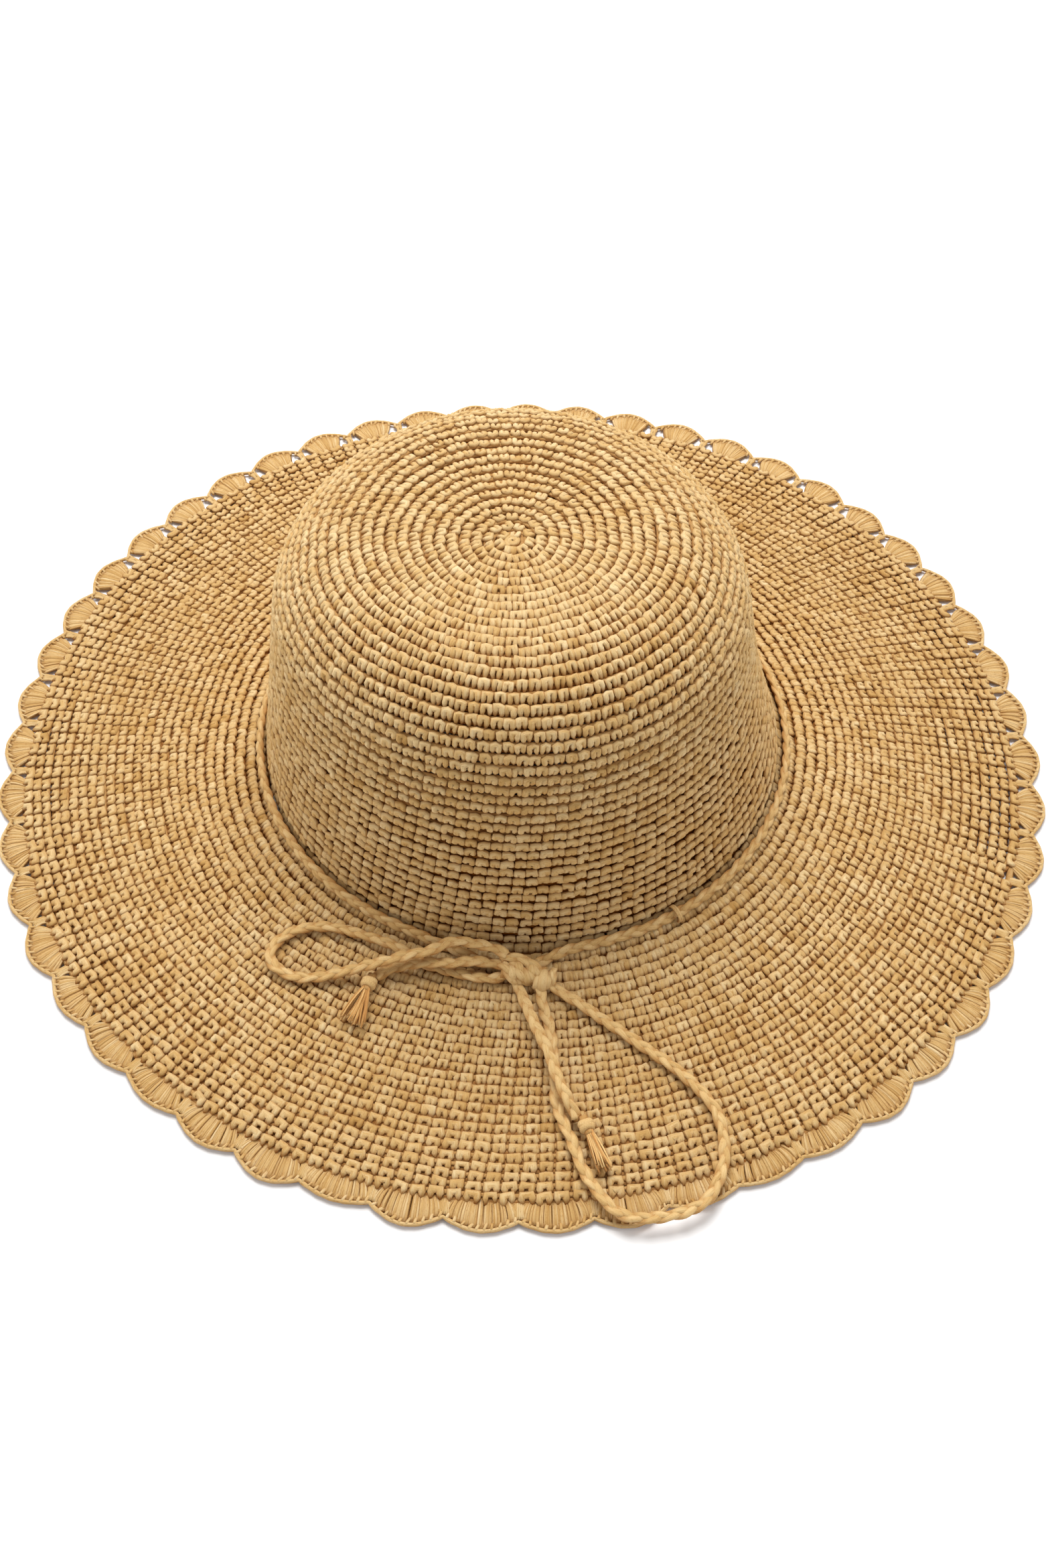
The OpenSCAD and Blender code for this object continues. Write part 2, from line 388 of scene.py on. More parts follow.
def straw_material(name, stops, shade_and_fleck_colour, roughness, sheen):
    """Raffia: long fibres along each strand, tone from strand to strand, paler
    and darker patches over the hat, dark flecks, and painted shade: browner and
    darker down between strands and on their lower sides."""
    n = Nodes(name)
    strand = n.attribute("strand", "Vector")
    fine = n.noise(n.scaled(strand, (0.22, 5.0, 1.0)), 1.0, 4.0, 0.65)
    broad = n.noise(n.scaled(strand, (0.12, 0.9, 1.0)), 1.0, 2.0)
    patches = n.noise(n.object_place(), 28.0, 2.0)
    tone = n.attribute("tone")
    fac = n.math("MULTIPLY", fine, FINE_SHARE)
    fac = n.math("ADD", fac, n.math("MULTIPLY", broad, BROAD_SHARE))
    fac = n.math("ADD", fac, n.math("MULTIPLY", tone, TONE_SHARE))
    fac = n.math("ADD", fac, n.math("MULTIPLY", patches, PATCH_SHARE), clamp=True)
    colour = n.ramp(fac, stops)
    # Painted shade from the mesh, with the straw's own dark flecks added, darkens the colour
    # towards the shade colour
    depth = n.attribute("depth")
    low = n.math("SUBTRACT", 1.0, depth, clamp=True)
    flecks = n.noise(n.scaled(strand, (1.2, 2.6, 1.0)), 1.0, 3.0, 0.6)
    flecks = n.math("SUBTRACT", flecks, FLECK_FROM)
    flecks = n.math("MULTIPLY", flecks, FLECK_EDGE, clamp=True)
    low = n.math("ADD", low, n.math("MULTIPLY", flecks, FLECK), clamp=True)
    colour = n.multiply(low, colour, linear(shade_and_fleck_colour))
    n.feed(n.shader, "Base Color", colour)
    rough = n.math("ADD", n.math("MULTIPLY", fine, 0.3), roughness - 0.15)
    n.feed(n.shader, "Roughness", rough)
    n.shader.inputs["Sheen Weight"].default_value = sheen
    n.shader.inputs["Sheen Roughness"].default_value = 0.6
    n.shader.inputs["Specular IOR Level"].default_value = 0.3
    n.shader.inputs["Specular Tint"].default_value = (1, 0.85, 0.6, 1)
    n.bump(fine, FIBRE_RELIEF, FIBRE_STRENGTH)
    return n.material


CROCHET_STOPS = ((0.28, (174, 128, 62)), (0.48, (205, 167, 107)), (0.68, (231, 207, 160)))
PLAIT_STOPS = ((0.28, (172, 126, 66)), (0.48, (206, 167, 106)), (0.68, (232, 201, 146)))
TASSEL_STOPS = ((0.30, (160, 98, 40)), (0.50, (212, 160, 92)), (0.70, (240, 206, 142)))
# After each ramp comes the colour of the painted shade, which the dark flecks share
crochet_straw = straw_material("crochet_straw", CROCHET_STOPS, (180, 124, 32), 0.72, 0.0)
plaited_straw = straw_material("plaited_straw", PLAIT_STOPS, (198, 148, 70), 0.62, 0.03)
frayed_straw = straw_material("frayed_straw", TASSEL_STOPS, (198, 134, 60), 0.6, 0.05)


def finish(obj, material, body, slot, *nodes):
    """Gives a piece its material and body, and hides the CAD parts that it stands for. The slot
    argument is not used.
    """
    obj.data.materials.append(material)
    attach(obj, body)
    if nodes:
        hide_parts(*nodes)
    return obj


# ------------------------------------------------------------ cords of the bow

# Routes as in part.scad: x, y and height above a cord that lies on the brim
LEFT_LOOP = (
    (-4, -101, 5.5), (-9, -99, 6), (-15, -98, 7), (-22, -98, 8), (-29, -102, 9), (-36, -103, 8),
    (-42, -104, 6.5), (-49, -105, 5), (-56, -106, 3), (-64, -107, 1), (-72, -107, 0),
    (-78, -105, 0), (-82, -101, 0), (-82, -96, 0), (-79, -92, 0), (-74, -89, 0),
    (-67, -88, 0), (-59, -89, 0), (-50, -92, 0), (-42, -95, 0), (-37, -98, 0),
    (-31, -102, 0), (-24, -104, 0), (-17, -106, 0), (-9, -107, 0), (-4.5, -106, 1),
)
LEFT_TAIL = (
    (-4, -103.5, 3), (-9, -103, 3), (-15, -103, 4.5), (-22, -104, 4.7), (-29, -104, 4.7),
    (-36, -103.5, 2.7), (-42, -104, 0.5), (-47, -107, 0),
)
RIGHT_LOOP = (
    (9, -107.5, 1.5), (13, -111, 0), (19, -115, 0), (26, -120, 0), (33, -125, 0), (40, -130, 0),
    (47, -135, 0), (53, -140, 0), (58, -145, 0), (62, -151, 0), (64, -158, 0),
    (64, -166, 0), (62, -173, 0), (58, -180, 0), (51, -184, 0), (43, -186, 0),
    (35, -186, 0), (29, -183, 0), (24, -177, 0), (20, -170, 0), (17, -162, 0),
    (14, -155, 0), (12, -148, 0), (12, -140, 0), (11, -132, 0), (10, -124, 0),
    (8, -117, 0), (7, -111, 0), (6, -107.5, 1),
)
RIGHT_TAIL = (
    (-1.5, -106.5, 1), (0, -110, 0), (2, -116, 1.5), (4, -122, 3.5), (7, -129, 4.8), (10, -136, 5),
    (12, -142, 5), (15, -149, 4.5), (18.6, -155.4, 1.6),
)
PLY_PITCH = 17
PLY_SWING = 0.85
PLY_RISE = 0.42
PLY_FLAT = 1.12
PLY_DEEP = 0.78
PLY_STEP = 0.9
PLY_WANDER = 0.07
PLY_UNEVEN = 0.12
PLY_TONE = 0.16
TAPER_LEAST = 0.35
UP = np.array((0.0, 0.0, 1.0))


def laid(route):
    """A route's points in space, for the cord's centre."""
    p = np.array(route, float)
    z = brim_top(np.hypot(p[:, 0], p[:, 1])) + LAY_GAP + CORD_D / 2 + p[:, 2]
    z = z + STITCH_CLEAR * np.clip(1 - p[:, 2], 0, 1)
    return np.column_stack([p[:, :2], z])


def plait(strands, points, up, size=1.0, pitch=PLY_PITCH, phase=0.0, tone=0.5, taper=0):
    """Three plies plaited flat along the points, with their flat face to `up`."""
    given = len(points)
    points = resample(np.asarray(points, float), PLY_STEP)
    if np.ndim(up) == 2:
        at = np.linspace(0, given - 1, len(points))
        up = np.stack([np.interp(at, np.arange(given), up[:, k]) for k in range(3)], axis=1)
    ahead = unit(np.gradient(points, axis=0))
    side = unit(np.cross(ahead, up))
    rise = np.cross(side, ahead)
    along = PLY_STEP * np.arange(len(points))
    squeeze = np.ones(len(points))
    if taper:
        ends = np.minimum(along, along[-1] - along)
        squeeze = np.clip(ends / taper, TAPER_LEAST, 1) ** 0.5
    for ply in range(3):
        a = TAU * (along / pitch + ply / 3) + phase
        wander = PLY_WANDER * np.sin(along * 0.9 + ply * 2.1) * size
        off_side = (PLY_SWING * size * np.sin(a) * squeeze + wander)[:, None]
        off_rise = (PLY_RISE * size * np.sin(2 * a))[:, None]
        centre = points + side * off_side + rise * off_rise
        width = PLY_FLAT * size * (1 + PLY_UNEVEN * np.sin(along * 0.7 + ply)) * squeeze
        # Painted shade where a ply dips under the other two
        depth = 0.55 + 0.45 * np.clip(0.5 + np.sin(2 * a), 0, 1)
        strands.add(centre, width[None], PLY_DEEP * size, rise[None], 10,
                    tone + PLY_TONE * rng.uniform(-1, 1), depth[None])


def bow_cord(name, route, tone=0.5, body="band"):
    """A loose cord of the bow: three real plies on the CAD route."""
    points = smooth_curve(laid(route), PLY_STEP)
    strands = Strands(CORD_UNDERSIDE_SHADE)
    plait(strands, points, UP, tone=tone)
    obj = finish(strands.build(name), plaited_straw, body, "raffia_plait",
                 name.replace("plait_", ""))
    return obj


# End knots and tassels
LEFT_KNOT_AT = (-49, -109.5)
RIGHT_KNOT_AT = (21.6, -157.6)
KNOT_R = 3.0
WRAP_R = 1.75
WRAP_TURNS = 1.6
WRAP_PLY_W = 1.25
TASSEL_L = 13
TASSEL_FIBRES = 42
LEFT_SPREAD, RIGHT_SPREAD = 3.4, 1.3
LEFT_TASSEL_TURN = math.radians(252)
RIGHT_TASSEL_TURN = math.radians(292)


def end_knot_centre(at):
    return np.array([*at, brim_top(math.hypot(*at)) + LAY_GAP + KNOT_R + STITCH_CLEAR])


def end_knot(name, at, turn, body, node):
    """A half-hitch stopper knot: the plies wrap round the tail and over it."""
    centre = end_knot_centre(at)
    ahead = np.array([math.cos(turn), math.sin(turn), -0.05])
    ahead /= np.linalg.norm(ahead)
    side = unit(np.cross(ahead, UP))
    rise = np.cross(side, ahead)
    strands = Strands(CORD_UNDERSIDE_SHADE)
    a = np.linspace(0, TAU * WRAP_TURNS, 30)[:, None]
    for lead, tilt in ((-1.1, 0.55), (0.9, -0.5)):
        ring = centre + ahead * (lead + tilt * np.sin(a)) + WRAP_R * (
            np.cos(a) * side + 0.92 * np.sin(a) * rise)
        outward = unit(ring - centre)
        strands.add(ring, WRAP_PLY_W, 0.8, outward[None], 10, 0.6)
    core = centre + ahead * np.linspace(-3.2, 3.0, 8)[:, None]
    # The core inside the wraps is given painted shade
    strands.add(core, 1.5, 1.3, rise, 10, 0.4, 0.6)
    return finish(strands.build(name), plaited_straw, body, "raffia_plait", node)


def tassel(name, at, turn, body, node, spread):
    """Loose frayed plies fanning out beyond the knot down to the brim."""
    centre = end_knot_centre(at)
    ahead = np.array([math.cos(turn), math.sin(turn), 0.0])
    side = np.cross(ahead, UP)
    strands = Strands(CORD_UNDERSIDE_SHADE)
    for _ in range(TASSEL_FIBRES):
        fan = rng.uniform(-1, 1)
        lift = rng.uniform(-1, 1)
        length = TASSEL_L * rng.uniform(0.82, 1.06)
        t = np.linspace(0, 1, 7)[:, None]
        start = centre + ahead * 2.0 + side * fan * 0.9 + UP * lift * 0.8
        end = start + ahead * length + side * fan * spread + UP * (lift * 0.9 - 1.1)
        curl = side * rng.uniform(-0.5, 0.5) + UP * rng.uniform(0, 0.5)
        points = start * (1 - t) + end * t + curl * np.sin(math.pi * t)
        width = rng.uniform(0.22, 0.5) * (1 - 0.25 * t[:, 0])
        strands.add(points, width[None], rng.uniform(0.12, 0.2),
                    unit(UP + side * rng.uniform(-1, 1)), 6, rng.uniform(0, 1))
    return finish(strands.build(name), frayed_straw, body, "frayed_raffia", node)


left_knot = end_knot("knot_left_end", LEFT_KNOT_AT, LEFT_TASSEL_TURN, "left_bow", "left_end_knot")
left_brush = tassel("tassel_left", LEFT_KNOT_AT, LEFT_TASSEL_TURN, "left_bow", "left_tassel",
                    LEFT_SPREAD)
right_knot = end_knot("knot_right_end", RIGHT_KNOT_AT, RIGHT_TASSEL_TURN, "right_tail",
                      "right_end_knot")
right_brush = tassel("tassel_right", RIGHT_KNOT_AT, RIGHT_TASSEL_TURN, "right_tail",
                     "right_tassel", RIGHT_SPREAD)
bow_cord("plait_left_loop", LEFT_LOOP, tone=0.55, body="left_bow")
bow_cord("plait_left_tail", LEFT_TAIL, 0.5, "left_bow")
bow_cord("plait_right_loop", RIGHT_LOOP, tone=0.6, body="right_loop")
bow_cord("plait_right_tail", RIGHT_TAIL, 0.6, "right_tail")

# ------------------------------------------------------- the hat's surface line


def surface_line():
    """Radius and height along the outer face, from the tip to the brim's rim."""
    wall_in = np.array([-math.cos(WALL_LEAN), -math.sin(WALL_LEAN)])
    wall_up = np.array([-math.sin(WALL_LEAN), math.cos(WALL_LEAN)])
    dome_c = np.array([0, CROWN_H - DOME_R])
    start = np.array([CROWN_R, CREASE_Z]) + SHOULDER_R * wall_in - dome_c
    along = start @ wall_up
    climb = math.sqrt(along**2 - start @ start + (DOME_R - SHOULDER_R) ** 2) - along
    shoulder_c = start + dome_c + climb * wall_up
    dome_edge = math.atan2(shoulder_c[0], shoulder_c[1] - dome_c[1])
    a = np.linspace(0, dome_edge, 40)
    dome = dome_c + DOME_R * np.column_stack([np.sin(a), np.cos(a)])
    a = np.linspace(math.pi / 2 - dome_edge, WALL_LEAN, 60)
    shoulder = shoulder_c + SHOULDER_R * np.column_stack([np.cos(a), np.sin(a)])
    rest = np.array([[CROWN_R, CREASE_Z], [CREASE_R, CREASE_Z], [BRIM_R, STRAW_T],
                     [BRIM_R + 8, STRAW_T]])
    return np.vstack([dome, shoulder[1:], rest])


LINE_STEP = 0.25
# The soft crown slumps a little to -X, and its first rounds lie off the axis
CROWN_SLUMP = 0.045
RIGHT_IN = 0.04
TIP_SHIFT = 5
TIP_DIMPLE = 2
TIP_SHIFT_S = 75


def smooth_line(line, sigma=1.6):
    """The line at even steps, with its corners rounded by a few millimetres."""
    flat = np.column_stack([line, np.zeros(len(line))])
    even = resample(flat, LINE_STEP)[:, :2]
    reach = int(4 * sigma / LINE_STEP)
    weights = np.exp(-0.5 * (np.arange(-reach, reach + 1) * LINE_STEP / sigma) ** 2)
    weights /= weights.sum()
    mirrored = even[1:reach + 1][::-1] * (-1, 1)
    tail = 2 * even[-1] - even[-reach - 1:-1][::-1]
    padded = np.vstack([mirrored, even, tail])
    out = np.column_stack([np.convolve(padded[:, k], weights, "valid") for k in (0, 1)])
    out[0, 0] = 0
    return out


LINE = smooth_line(surface_line())
ALONG = np.concatenate([[0], np.cumsum(np.linalg.norm(np.diff(LINE, axis=0), axis=1))])
HEADING = unit(np.gradient(LINE, axis=0))
CREASE_S = float(np.interp(CROWN_R, LINE[:, 0], ALONG))
RIM_S = float(np.interp(BRIM_R + 0.5, LINE[:, 0], ALONG))
TIP_JOINT_S = float(ALONG[np.argmax(LINE[:, 1] < TIP_JOINT_Z)])


def slumped(x, z):
    """The crown leans to -X, and its +X side is pushed in a little half way up."""
    above = np.clip(z - CREASE_Z, 0, None)
    pushed = np.sin(math.pi * np.clip(above / (CROWN_H - CREASE_Z), 0, 1))
    return x - CROWN_SLUMP * above - RIGHT_IN * np.clip(x, 0, None) * pushed


def surface_frames(theta, s):
    """Place, round direction, outward direction and normal at angle and distance."""
    r = np.interp(s, ALONG, LINE[:, 0])
    z = np.interp(s, ALONG, LINE[:, 1])
    tr = np.interp(s, ALONG, HEADING[:, 0])
    tz = np.interp(s, ALONG, HEADING[:, 1])
    c, sn, o = np.cos(theta), np.sin(theta), np.zeros_like(theta)
    place = np.stack([slumped(r * c, z), r * sn, z], axis=-1)
    middle = np.clip(1 - s / TIP_SHIFT_S, 0, 1)
    middle = middle**2 * (3 - 2 * middle)
    place[..., 1] -= TIP_SHIFT * middle
    place[..., 2] -= TIP_DIMPLE * middle
    round_way = np.stack([-sn, c, o], axis=-1)
    out_way = unit(np.stack([tr * c, tr * sn, tz], axis=-1))
    normal = unit(np.stack([-tz * c, -tz * sn, tr], axis=-1))
    return place, round_way, out_way, normal


def stitches_per_round(s):
    r = np.interp(s, ALONG, LINE[:, 0])
    top = TAU * r / TOP_STITCH_W
    crown = np.minimum(top, WALL_STITCHES + WALL_DRIFT)
    brim = SHELL_N * STITCHES_PER_SHELL + BRIM_DRIFT
    flare = np.clip((s - CREASE_S) / BRIM_FLARE_W, 0, 1)
    return np.maximum(crown * (1 - flare) + brim * flare, FEWEST_STITCHES)


def spiral():
    """Angle, distance, width and row height of every stitch, along the spiral."""
    s = np.arange(SPIRAL_START, RIM_S - LAST_ROW_IN, SPIRAL_STEP)
    height = np.interp(s, ROW_AT, ROW_HEIGHT)
    turns = np.cumsum(SPIRAL_STEP / height)
    count = np.cumsum(SPIRAL_STEP / height * stitches_per_round(s))
    k = np.arange(1, int(count[-1]))
    at_s = np.interp(k, count, s)
    at_turn = np.interp(k, count, turns)
    # the last rounds close into rings, so that the rim is even
    left = turns[-1] - at_turn
    at_s = at_s + (left % 1) * ROW_HEIGHT[-1] * np.clip(1 - (left - 1) / CLOSING_ROUNDS, 0, 1)
    width = TAU * np.interp(at_s, ALONG, LINE[:, 0]) / stitches_per_round(at_s)
    return TAU * at_turn, at_s, width, np.interp(at_s, ROW_AT, ROW_HEIGHT)


def wave(theta, s):
    """Rows wander a little up and down round the hat."""
    return (0.35 * np.sin(2 * theta + s / 31) + 0.22 * np.sin(5 * theta - s / 17)
            + 0.15 * np.sin(11 * theta + s / 9)) * np.clip(s / 30, 0, 1)


# A stitch is an arch: up one leg, over its apex and down the other. Each row
# holds across (in stitch widths), out to the rim (in row heights), height over
# the surface in mm, and half width in stitch widths
CROWN_ARCH = np.array([
    (-0.24, 0.57, -2.00, 0.18),
    (-0.25, 0.43, -0.90, 0.25),
    (-0.25, 0.17, -0.05, 0.30),
    (-0.24, -0.08, 0.05, 0.30),
    (0.00, -0.10, -0.05, 0.28),
    (0.24, -0.08, 0.02, 0.30),
    (0.25, 0.17, -0.08, 0.295),
    (0.25, 0.43, -0.95, 0.245),
    (0.24, 0.57, -2.00, 0.18),
])
BRIM_ARCH = np.array([
    (-0.25, 0.64, -1.70, 0.12),
    (-0.25, 0.45, -0.95, 0.18),
    (-0.255, 0.20, -0.10, 0.27),
    (-0.255, -0.09, 0.20, 0.30),
    (0.01, -0.14, -0.35, 0.26),
    (0.255, -0.09, 0.16, 0.30),
    (0.255, 0.20, -0.15, 0.27),
    (0.24, 0.45, -1.00, 0.18),
    (0.22, 0.64, -1.70, 0.12),
])
LEFT_LEG = np.linspace(1.6, -0.6, 9).clip(0, 1)[:, None]
ARCH_DEEP = 0.85
CROWN_SQUARE, BRIM_SQUARE = 0.75, 0.95
OPENING_W = 50
TOP_OPEN, TOP_OPEN_S, TOP_CLOSING_W = 0.9, 135, 40
# Painted shade on the stitches' lower sides is this much less on the top of the crown
TOP_UNDERSIDE_SHADE_LESS = 0.4
# Painted light: the top of the crown is given a paler tone, fading out by this distance from the
# tip
TOP_PAINTED_LIGHT, TOP_PAINTED_LIGHT_S = 0.09, 105
TIP_S = 35
TIP_SLIM = 0.14
# How far each row laps over the next, at distances from the tip
SNUG_AT = (40, 70, 170, 185)
SNUG = (1.12, 0.98, 1.04, 1.06)


def openness(s):
    """0 where stitches are closed blocks, 1 where they show two lobes and a hole."""
    at_top = TOP_OPEN * np.clip((TOP_OPEN_S - s) / TOP_CLOSING_W, 0, 1)
    return np.maximum(at_top, np.clip((s - CREASE_S) / OPENING_W, 0, 1))


def arches(strands, frames, width, height, arch, square, underside_shade, top_light):
    """Arches of straw at the given places, of which each has its own small faults."""
    place, across, out, normal = frames
    n = len(place)
    size = 1 + 0.06 * rng.standard_normal((n, 1))
    tilt = np.radians(5) * rng.standard_normal((n, 1))
    jitter = rng.standard_normal((n, len(CROWN_ARCH), 3)) * (0.10, 0.09, 0.08)
    legs = rng.standard_normal((2, n, 1, 3)) * (0.10, 0.20, 0.14)
    jitter += legs[0] * LEFT_LEG + legs[1] * LEFT_LEG[::-1]
    shift = 0.09 * rng.standard_normal((n, 3, 1))
    u = arch[..., 0] * width[:, None] * size + jitter[..., 0] + shift[:, 0]
    v = arch[..., 1] * height[:, None] + jitter[..., 1] + shift[:, 1]
    h = arch[..., 2] + jitter[..., 2] + shift[:, 2]
    u, v = u * np.cos(tilt) - v * np.sin(tilt), u * np.sin(tilt) + v * np.cos(tilt)
    centres = (place[:, None] + u[..., None] * across[:, None]
               + v[..., None] * out[:, None] + h[..., None] * normal[:, None])
    gauge = np.sqrt(1.15 * width * height)[:, None]
    flat = arch[..., 3] * gauge * (1 + 0.08 * rng.standard_normal((n, 1)))
    tone = 0.5 + 0.07 * rng.standard_normal((n, 1)) - 0.3 * (rng.random((n, 1)) < 0.02)
    # Painted light: paler on the top of the crown
    tone = tone + top_light
    tone = tone + 0.08 * rng.standard_normal((n, 1)) * (LEFT_LEG - LEFT_LEG[::-1])[:, 0]
    # Painted shade: the deeper a part of the arch lies under the surface, the more
    depth = np.clip((arch[..., 2] + 1.5) / 1.2, 0, 1)
    strands.add(centres, flat, ARCH_DEEP, normal[:, None], 8, np.clip(tone, 0, 1), depth,
                square, underside_shade)


def stitch_batch(strands, theta, s, width, height):
    """One arch for each stitch: closed blocks on the crown, open ones at the rim."""
    s = s + wave(theta, s)
    opened = openness(s)[:, None, None]
    arch = CROWN_ARCH * (1 - opened) + BRIM_ARCH * opened
    arch[..., 3] *= 1 - TIP_SLIM * np.clip(3 - s / TIP_S, 0, 1)[:, None]
    square = CROWN_SQUARE * (1 - opened) + BRIM_SQUARE * opened
    snug = height * np.interp(s, SNUG_AT, SNUG)
    # On the top of the crown the stitches get less painted shade on their lower sides
    at_top = np.clip((TOP_OPEN_S - s) / TOP_CLOSING_W, 0, 1)[:, None, None]
    # Painted light: a paler tone on the top of the crown
    top_light = TOP_PAINTED_LIGHT * np.clip((TOP_PAINTED_LIGHT_S - s) / TOP_CLOSING_W, 0, 1)[:, None]
    arches(strands, surface_frames(theta, s), width, snug, arch, square,
           UNDERSIDE_SHADE - TOP_UNDERSIDE_SHADE_LESS * at_top, top_light)


def backing(strands, theta, s, height):
    """The straw behind each row, that the arches pull round: a ridge that closes
    the joints between stitches, and a deeper cord that closes the row line. Both
    are given painted shade, less of it at the tip and where the stitches open out."""
    s = s + wave(theta, s)
    near_rim = np.clip((RIM_S - s) / 14, 0.8, 1)
    opened = openness(s)
    at_tip = np.clip(2 - s / TIP_S, 0, 1)
    less_shade = np.maximum(1.4 * at_tip, np.clip((s - CREASE_S) / OPENING_W, 0, 1))
    # The last value in each row is the share of the straw's colour kept free of painted shade
    for lead, low, wide, backing_unshaded in (
            (0.36, 1.9 - 0.5 * less_shade, 1.15, 0.1 + 0.3 * less_shade),
            (-0.12, 1.9 - 1.15 * opened, 1.05, 0.8 * opened)):
        place, _, _, normal = surface_frames(theta, s + lead * height)
        bumps = 1 + 0.10 * rng.standard_normal(len(s))
        strands.add(place - normal * low[:, None], (wide * near_rim * bumps)[None],
                    (0.75 * near_rim)[None], normal[None], 6, 0.35, backing_unshaded[None])


def start_ring(strands):
    """The tight coil that the first stitches are worked into."""
    turn = np.linspace(0, 1.7 * TAU, 40)
    place, _, _, normal = surface_frames(turn, 0.2 + 2.3 * turn / turn[-1])
    strands.add(place - 0.5 * normal, 1.2, 0.8, normal[None], 8, 0.5)
    turn = np.linspace(0, 3 * TAU, 60)
    place, _, _, normal = surface_frames(turn, 0.2 + 5 * turn / turn[-1])
    # The deeper coil is given painted shade
    strands.add(place - 1.3 * normal, 1.2, 0.8, normal[None], 6, 0.4, 0.6)


def crochet(name, index, arrays, nodes):
    theta, s, width, height = (a[index] for a in arrays)
    strands = Strands()
    if s[0] < TOP_STITCH_W:
        start_ring(strands)
    stitch_batch(strands, theta, s, width, height)
    backing(strands, theta, s, height)
    return finish(strands.build(name), crochet_straw, "hat", "raffia_crochet", *nodes)


def make_crochet():
    arrays = spiral()
    s = arrays[1]
    tip_end = int(np.argmax(s > TIP_JOINT_S))
    side_end = int(np.argmax(s > CREASE_S + 1))
    parts = [("crochet_tip", 0, tip_end, 1, "crown_tip"),
             ("crochet_side", tip_end, side_end, 3, "crown_side"),
             ("crochet_brim", side_end, len(s), 5, "brim")]
    for name, first, last, pieces, node in parts:
        cuts = np.linspace(first, last, pieces + 1).astype(int)
        for i in range(pieces):
            label = name if pieces == 1 else f"{name}_{i + 1}"
            crochet(label, slice(cuts[i], cuts[i + 1] + 1), arrays, (node,))


make_crochet()

# ------------------------------------------------------- shells and chain edge

HALF_PITCH = math.pi / SHELL_N
PEAK_ROUND = 0.5
# LESS is taken off at the back of the brim, and MORE is added at the front of it
POSTS = 9
POST_FIBRES = 5
FAN_BASE_W = 4.2
FAN_BASE_MORE = 4.4
FAN_REACH = 0.95
FAN_REACH_LESS = 0.27
STEM_W = 1.7
STEM_LESS = 0.55
FAN_INSET = 1.5
FAN_H = 1.45
LINKS = 10
RUNG_W = 0.55
RIM_CORD_R = 0.68
# How much shells fall short of their full reach, and what the back ones gain
UNEVEN = 0.5
UNEVEN_MORE = 2.2
BACK_REACH = 1.2
FOOT_CORD_POINTS = 361


def at_front(theta):
    """1 at the front of the brim, where the shells are drawn closed, to 0 behind."""
    return np.clip(-np.sin(theta), 0, 1) ** 1.5


def at_back(theta):
    """1 at the back of the brim, where holes show beside the notches, to 0 in front."""
    return np.clip(0.3 + 0.9 * np.sin(theta), 0, 1)


def shell_point(middle, short, share, inset, height):
    """A point in a shell: share runs from -1 at one notch to 1 at the other, and
    the peak falls `short` mm of its full reach."""
    swell = (0.5 + 0.5 * np.cos(math.pi * share)) ** PEAK_ROUND
    r = NOTCH_R + (PEAK_R - short - NOTCH_R) * swell - inset
    theta = middle + share * HALF_PITCH
    return np.stack([r * np.cos(theta), r * np.sin(theta), height + 0 * r], axis=-1)


def fan_line(middle, short, share, sag, height):
    """A line from the stitch that the shell is worked into, out to the rim."""
    t = np.linspace(0, 1, 7)[:, None]
    out = np.array([math.cos(middle), math.sin(middle), 0])
    round_way = np.array([-math.sin(middle), math.cos(middle), 0])
    base_w = FAN_BASE_W + FAN_BASE_MORE * at_front(middle)
    foot = (BRIM_R - 1.0) * out + base_w * share * round_way
    reach = FAN_REACH - FAN_REACH_LESS * at_back(middle)
    end = shell_point(middle, short, np.array(reach * share), FAN_INSET, 0.0)
    line = foot + (end - foot) * t + sag * np.sin(math.pi * t) * round_way
    line[:, 2] = height[:, 0] if np.ndim(height) else height
    return line


def fan(strands, middle, short):
    """Posts of several fibres each, that spread from one stitch of the brim."""
    t = np.linspace(0, 1, 7)[:, None]
    for post in range(POSTS):
        share = (2 * post + 1) / POSTS - 1
        under = fan_line(middle, short, share, 0.4 * share, 1.1)
        # The lower layer is given painted shade
        strands.add(under, (0.9 + 0.55 * t).T, 0.6, UP, 6, 0.45, (0.75 + 0 * t).T)
        for fibre in range(POST_FIBRES):
            inner = (fibre + 0.5) / POST_FIBRES - 0.5
            across = share + 1.9 * inner / POSTS + 0.02 * rng.standard_normal()
            rise = FAN_H + 0.5 * np.sin(math.pi * (0.15 + 0.7 * t)) - 0.7 * t**4
            rise = rise - 0.5 * abs(inner) + 0.1 * rng.standard_normal()
            line = fan_line(middle, short, across, 0.4 * share, rise)
            wide = 0.38 + 0.18 * t + 0.05 * rng.standard_normal()
            # Painted shade at the root and, deepest, at the end under the rungs
            shade = (0.75 + 0.25 * np.sin(math.pi * t)) * np.clip((1.15 - t) * 5, 0.2, 1)
            strands.add(line, wide.T, 0.45, UP, 6,
                        np.clip(0.45 + 0.13 * rng.standard_normal(), 0, 1), shade.T)


